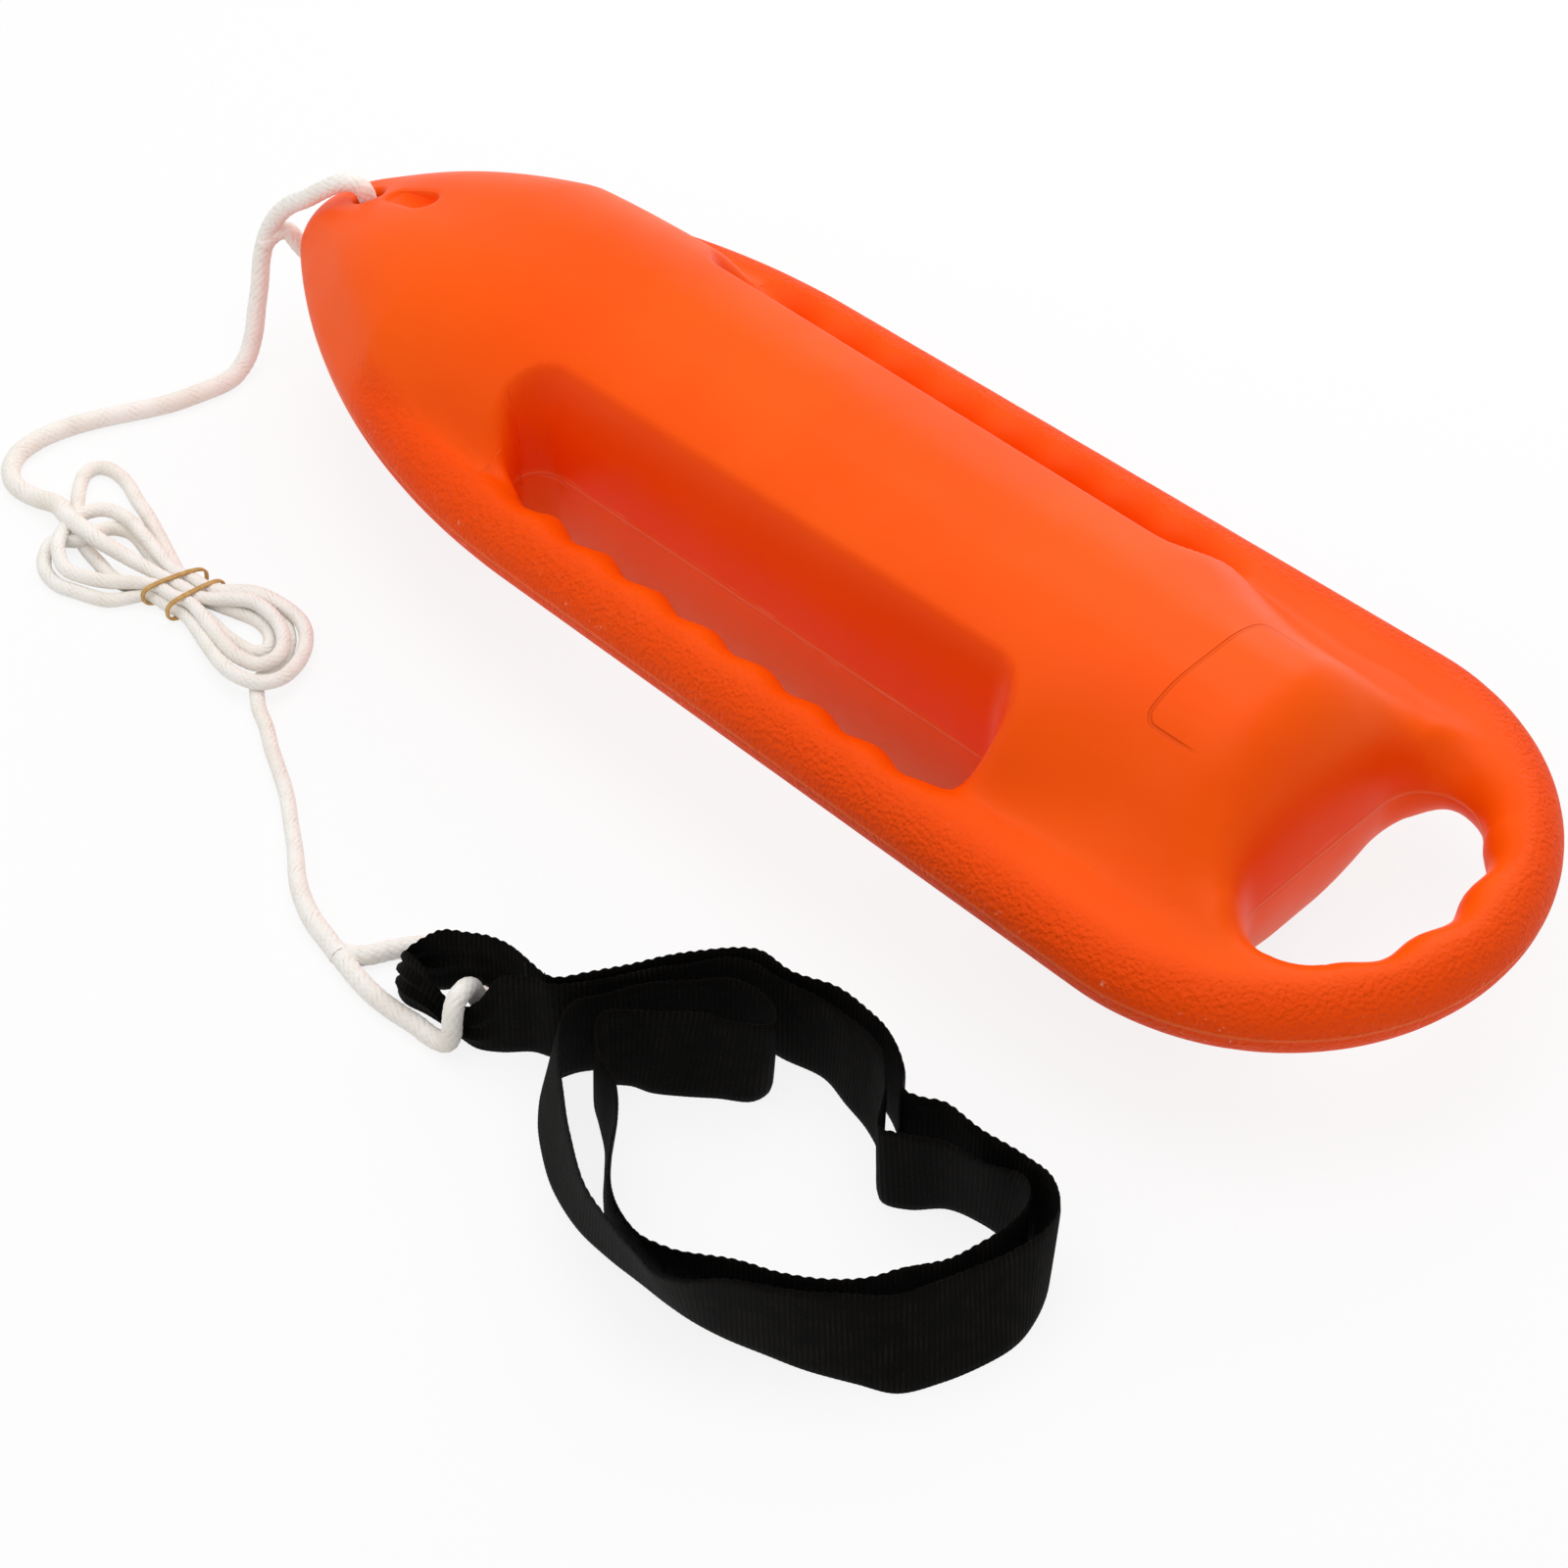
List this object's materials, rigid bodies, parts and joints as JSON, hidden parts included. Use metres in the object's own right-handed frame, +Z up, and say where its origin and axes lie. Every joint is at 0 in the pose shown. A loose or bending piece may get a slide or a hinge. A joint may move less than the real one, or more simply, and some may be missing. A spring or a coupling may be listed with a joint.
{
  "type": "rescue can buoy",
  "caption": "Hard torpedo-shaped rescue float with side hand slots and a rear handle, towed by a rope tied in a hank and a flat webbing shoulder strap.",
  "frame": {"origin": "the point where the middle of the float's length meets the surface it lies on, on the middle of its belly", "axes": "+X runs to the nose with the tow hole, +Z points up from the belly to the crown, +Y to the side the shoulder strap lies on"},
  "size_m": [0.7585, 0.4679, 0.14],
  "materials": {
    "float_shell": "moulded orange polyethylene, satin, with a fine pebble grain round the rim",
    "rope": "white hollow-braided synthetic rope",
    "band": "tan natural rubber",
    "webbing": "black cross-ribbed woven webbing"
  },
  "bodies": {
    "float": {"float_body": "float_shell"},
    "tow_line": {"nose_eye": "rope", "rope_upper_run": "rope", "rope_hank": "rope", "rubber_band": "band", "rope_lower_run": "rope", "strap_eye": "rope"},
    "shoulder_strap": {"strap_webbing": "webbing"}
  },
  "joints": [
    {"name": "tow_swing", "type": "hinge", "parent": "float", "child": "tow_line", "pos_m": [0.328, 0, 0.07], "axis": [0, 0, 1], "range_deg": [-70, 3]},
    {"name": "strap_swing", "type": "hinge", "parent": "tow_line", "child": "shoulder_strap", "pos_m": [-0.03, 0.275, 0.02], "axis": [0, 0, 1], "range_deg": [-5, 5]}
  ]
}
